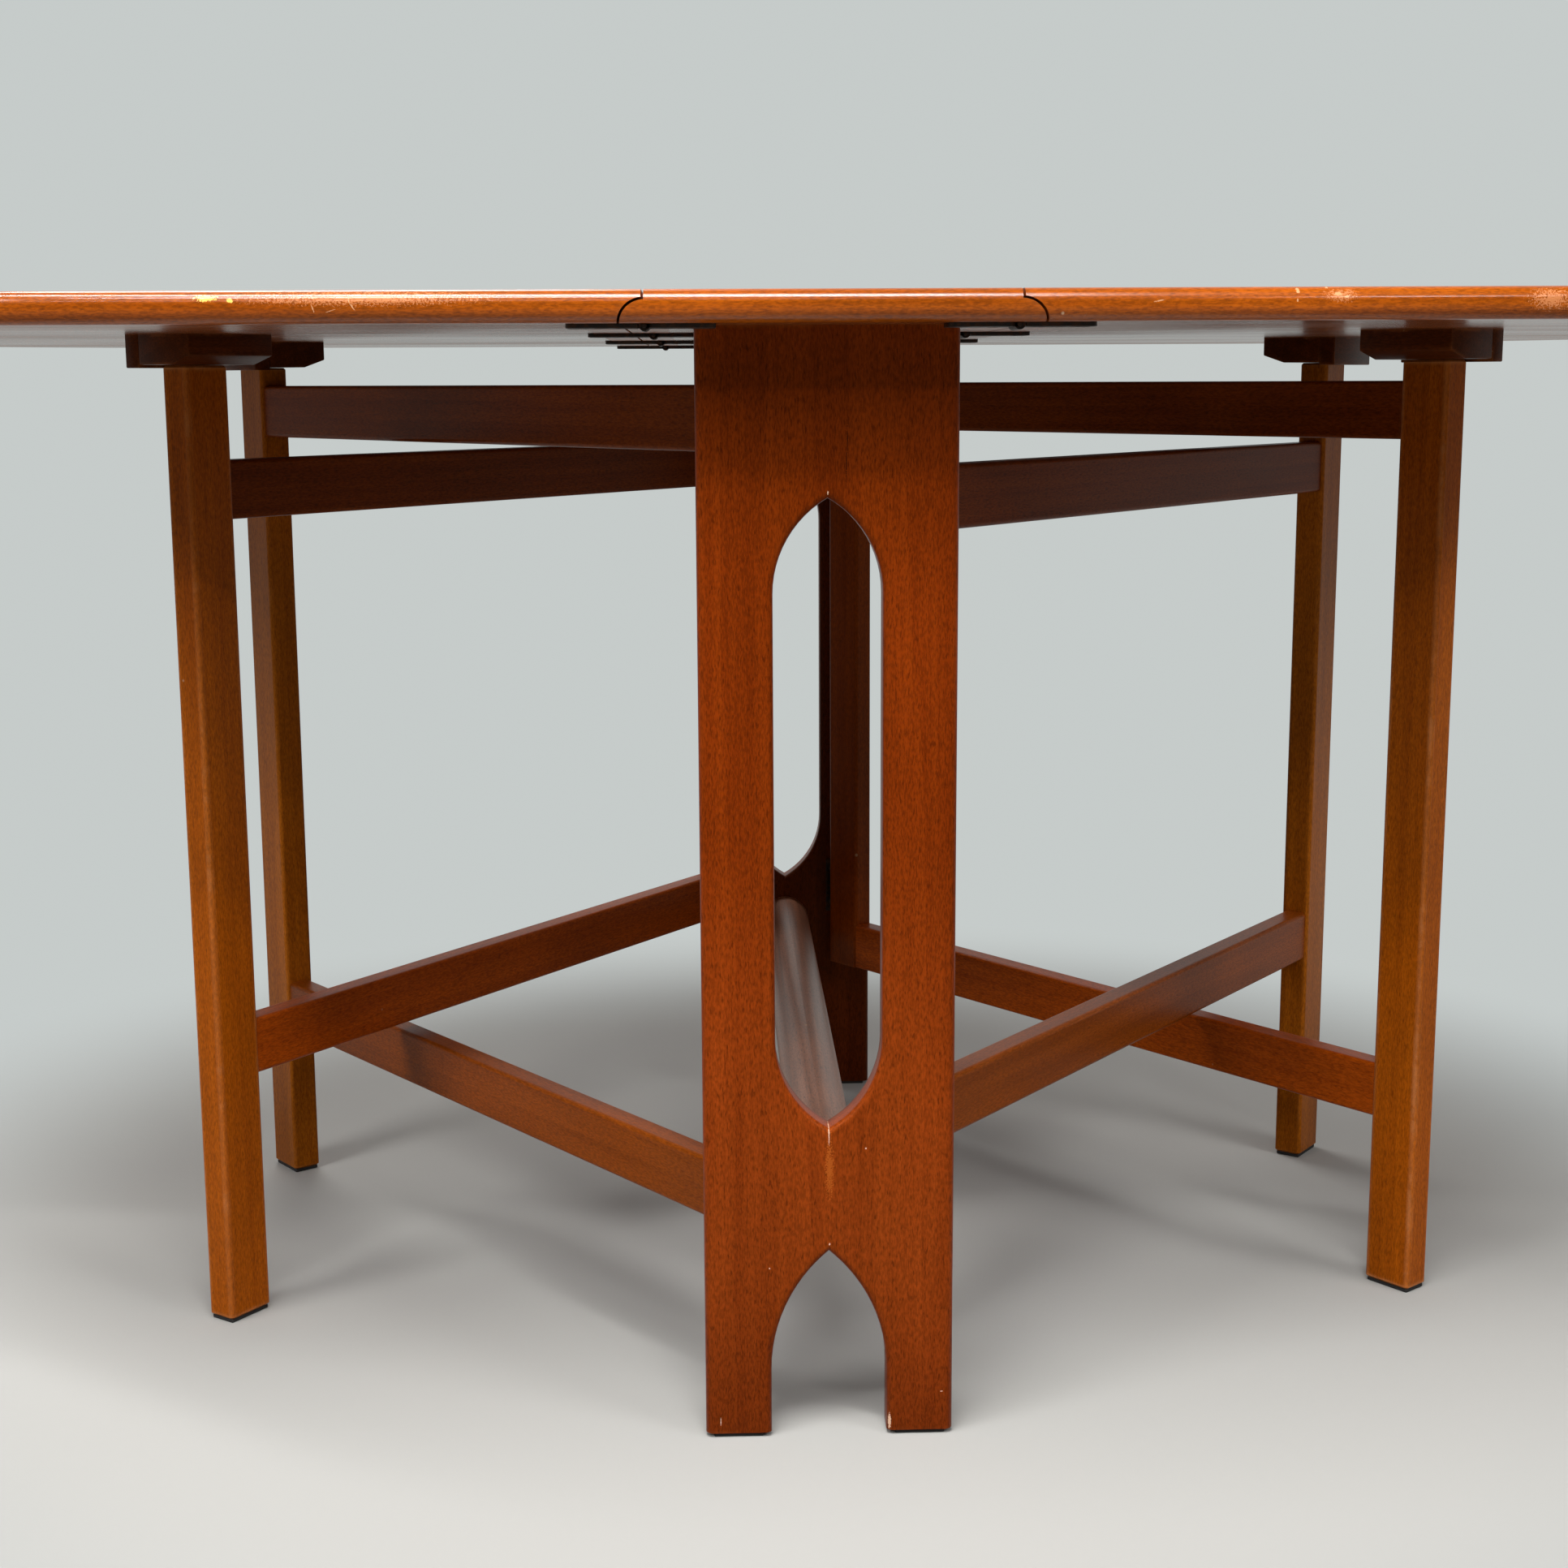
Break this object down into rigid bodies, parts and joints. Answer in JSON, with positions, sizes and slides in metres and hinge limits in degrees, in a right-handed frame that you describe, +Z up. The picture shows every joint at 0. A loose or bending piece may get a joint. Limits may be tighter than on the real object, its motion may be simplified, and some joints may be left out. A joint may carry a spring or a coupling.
{
  "type": "drop-leaf gate-leg table",
  "caption": "Drop-leaf table with a narrow centre frame, two rounded leaves on rule joints and crossing swing-out gate legs under each leaf.",
  "frame": {"origin": "on the floor, under the middle of the open top", "axes": "+X across both leaves, the longest way; +Y along the narrow centre board, away from the front; +Z up, the shortest way"},
  "size_m": [1.5772, 0.9, 0.723],
  "materials": {
    "teak_top": "satin lacquer, long straight grain",
    "teak_frame": "satin lacquer, upright grain",
    "teak_gate": "satin lacquer, grain along each piece",
    "hinge_steel": "dark browned steel, satin",
    "felt": "dense black felt"
  },
  "bodies": {
    "frame": {"centre_board": "teak_top", "centre_hinge_plates_left": "hinge_steel", "centre_hinge_plates_right": "hinge_steel", "centre_stretcher": "teak_frame", "end_panel_far": "teak_frame", "end_panel_near": "teak_frame", "gate_hinge_pins_far_left": "hinge_steel", "gate_hinge_pins_far_right": "hinge_steel", "gate_hinge_pins_near_left": "hinge_steel", "gate_hinge_pins_near_right": "hinge_steel", "leaf_hinge_pins_left": "hinge_steel", "leaf_hinge_pins_right": "hinge_steel", "panel_hinge_leaves_far_left": "hinge_steel", "panel_hinge_leaves_far_right": "hinge_steel", "panel_hinge_leaves_near_left": "hinge_steel", "panel_hinge_leaves_near_right": "hinge_steel", "panel_pads_far": "felt", "panel_pads_near": "felt", "top_cleat_far": "teak_frame", "top_cleat_near": "teak_frame"},
    "leaf_left": {"leaf_left": "teak_top", "leaf_hinge_straps_left": "hinge_steel", "support_block_near_left": "teak_gate", "support_block_far_left": "teak_gate"},
    "leaf_right": {"leaf_right": "teak_top", "leaf_hinge_straps_right": "hinge_steel", "support_block_near_right": "teak_gate", "support_block_far_right": "teak_gate"},
    "gate_near_left": {"leg_near_left": "teak_gate", "stile_near_left": "teak_gate", "lower_rail_near_left": "teak_gate", "top_rail_near_left": "teak_gate", "leg_pad_near_left": "felt", "gate_hinge_leaves_near_left": "hinge_steel"},
    "gate_far_left": {"leg_far_left": "teak_gate", "stile_far_left": "teak_gate", "lower_rail_far_left": "teak_gate", "top_rail_far_left": "teak_gate", "leg_pad_far_left": "felt", "gate_hinge_leaves_far_left": "hinge_steel"},
    "gate_near_right": {"leg_near_right": "teak_gate", "stile_near_right": "teak_gate", "lower_rail_near_right": "teak_gate", "top_rail_near_right": "teak_gate", "leg_pad_near_right": "felt", "gate_hinge_leaves_near_right": "hinge_steel"},
    "gate_far_right": {"leg_far_right": "teak_gate", "stile_far_right": "teak_gate", "lower_rail_far_right": "teak_gate", "top_rail_far_right": "teak_gate", "leg_pad_far_right": "felt", "gate_hinge_leaves_far_right": "hinge_steel"}
  },
  "joints": [
    {"name": "fold_near_left", "type": "hinge", "parent": "frame", "child": "gate_near_left", "pos_m": [-0.054, 0.3602, 0.4], "axis": [0, 0, 1], "range_deg": [0, 33]},
    {"name": "fold_far_left", "type": "hinge", "parent": "frame", "child": "gate_far_left", "pos_m": [-0.054, -0.3602, 0.4], "axis": [0, 0, -1], "range_deg": [0, 34.51]},
    {"name": "fold_near_right", "type": "hinge", "parent": "frame", "child": "gate_near_right", "pos_m": [0.054, 0.3602, 0.4], "axis": [0, 0, -1], "range_deg": [0, 35.1]},
    {"name": "fold_far_right", "type": "hinge", "parent": "frame", "child": "gate_far_right", "pos_m": [0.054, -0.3602, 0.4], "axis": [0, 0, 1], "range_deg": [0, 35.41]},
    {"name": "lift_leaf_left", "type": "hinge", "parent": "frame", "child": "leaf_left", "pos_m": [-0.1075, 0, 0.703], "axis": [0, 1, 0], "range_deg": [0, 1.5]},
    {"name": "lift_leaf_right", "type": "hinge", "parent": "frame", "child": "leaf_right", "pos_m": [0.1075, 0, 0.703], "axis": [0, -1, 0], "range_deg": [0, 1.5]}
  ],
  "couplings": [
    {"joint": "fold_far_left", "follows": "fold_near_left", "ratio": 1.0455},
    {"joint": "fold_far_right", "follows": "fold_near_right", "ratio": 1.0085}
  ]
}
